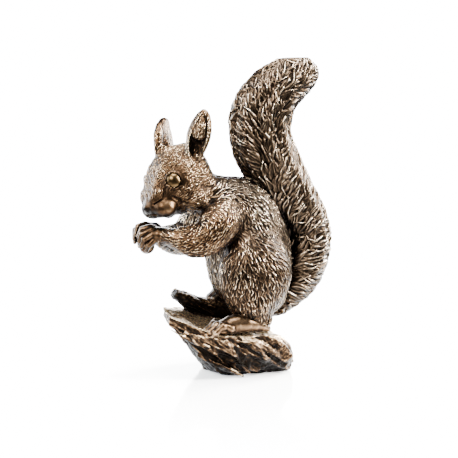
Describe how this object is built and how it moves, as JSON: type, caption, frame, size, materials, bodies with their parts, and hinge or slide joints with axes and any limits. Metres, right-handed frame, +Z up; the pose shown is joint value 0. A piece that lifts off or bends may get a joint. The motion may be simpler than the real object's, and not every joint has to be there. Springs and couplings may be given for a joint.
{
  "type": "squirrel figurine",
  "caption": "Patinated bronze ornament of a squirrel sitting on a split log, holding a hazelnut to its chest, with its plumed tail raised behind its back.",
  "frame": {"origin": "middle of the flat underside of the log, on the surface that it stands on", "axes": "+Z up; the squirrel faces -X; its left side is -Y"},
  "size_m": [0.083, 0.0444, 0.1271],
  "materials": {
    "fur_bronze": "brown patina, chased fur, edges rubbed to gold brown",
    "log_bronze": "brown patina, wood grain, edges rubbed to gold",
    "polished_bronze": "smooth brown patina, rubbed bright",
    "dowel_brass": "turned, unfinished"
  },
  "bodies": {
    "root": {"log_block": "log_bronze", "log_slab": "log_bronze", "torso": "fur_bronze", "tail": "fur_bronze", "left_haunch": "fur_bronze", "right_haunch": "fur_bronze", "left_foot": "fur_bronze", "right_foot": "fur_bronze", "left_arm": "fur_bronze", "right_arm": "fur_bronze", "left_paw": "fur_bronze", "right_paw": "fur_bronze", "hazelnut": "polished_bronze", "head": "fur_bronze", "left_eye": "polished_bronze", "right_eye": "polished_bronze", "left_ear": "fur_bronze", "right_ear": "fur_bronze", "neck_dowel": "dowel_brass", "tail_dowel": "dowel_brass", "arm_dowels": "dowel_brass", "haunch_dowels": "dowel_brass", "foot_pins": "dowel_brass", "slab_pins": "dowel_brass"}
  },
  "joints": []
}
